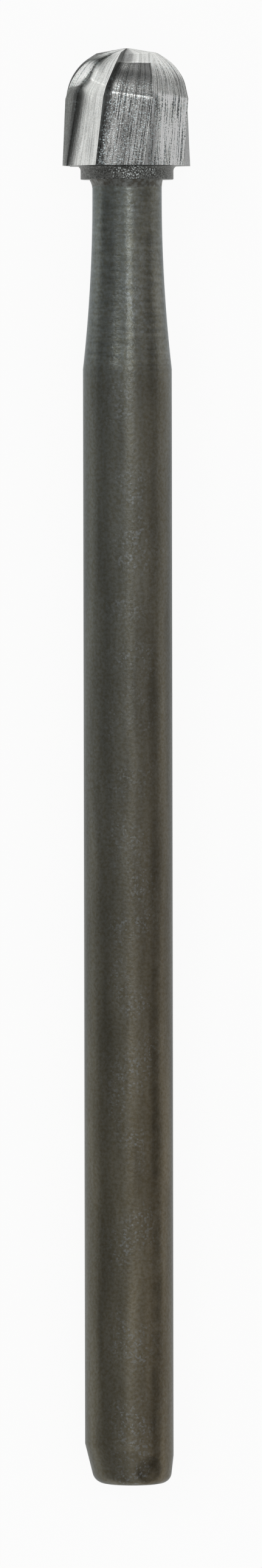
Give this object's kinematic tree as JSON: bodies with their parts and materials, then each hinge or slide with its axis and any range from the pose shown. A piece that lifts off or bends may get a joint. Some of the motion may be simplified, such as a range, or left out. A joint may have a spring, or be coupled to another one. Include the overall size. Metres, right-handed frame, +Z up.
{
  "type": "carbide burr",
  "caption": "Small rotary burr: a round-nosed tungsten carbide head with coarse ground right-hand teeth, brazed to the necked end of a straight steel shank.",
  "frame": {"origin": "on the surface the burr lies on, under the middle of its length", "axes": "+Y towards the head, along the burr as it lies (its own axis rises 0.8 degrees towards the head), +Z up, +X to the right seen from above with the head away from the viewer"},
  "size_m": [0.0034, 0.038, 0.0034],
  "materials": {
    "ground_carbide": "sintered tungsten carbide, wheel-ground, bright with fine grinding lines",
    "silver_braze": "silver braze, as run, dull",
    "turned_steel": "turned tool steel, satin, darkened and handled"
  },
  "bodies": {
    "root": {"carbide_head": "ground_carbide", "braze_joint": "silver_braze", "steel_shank": "turned_steel"}
  },
  "joints": []
}
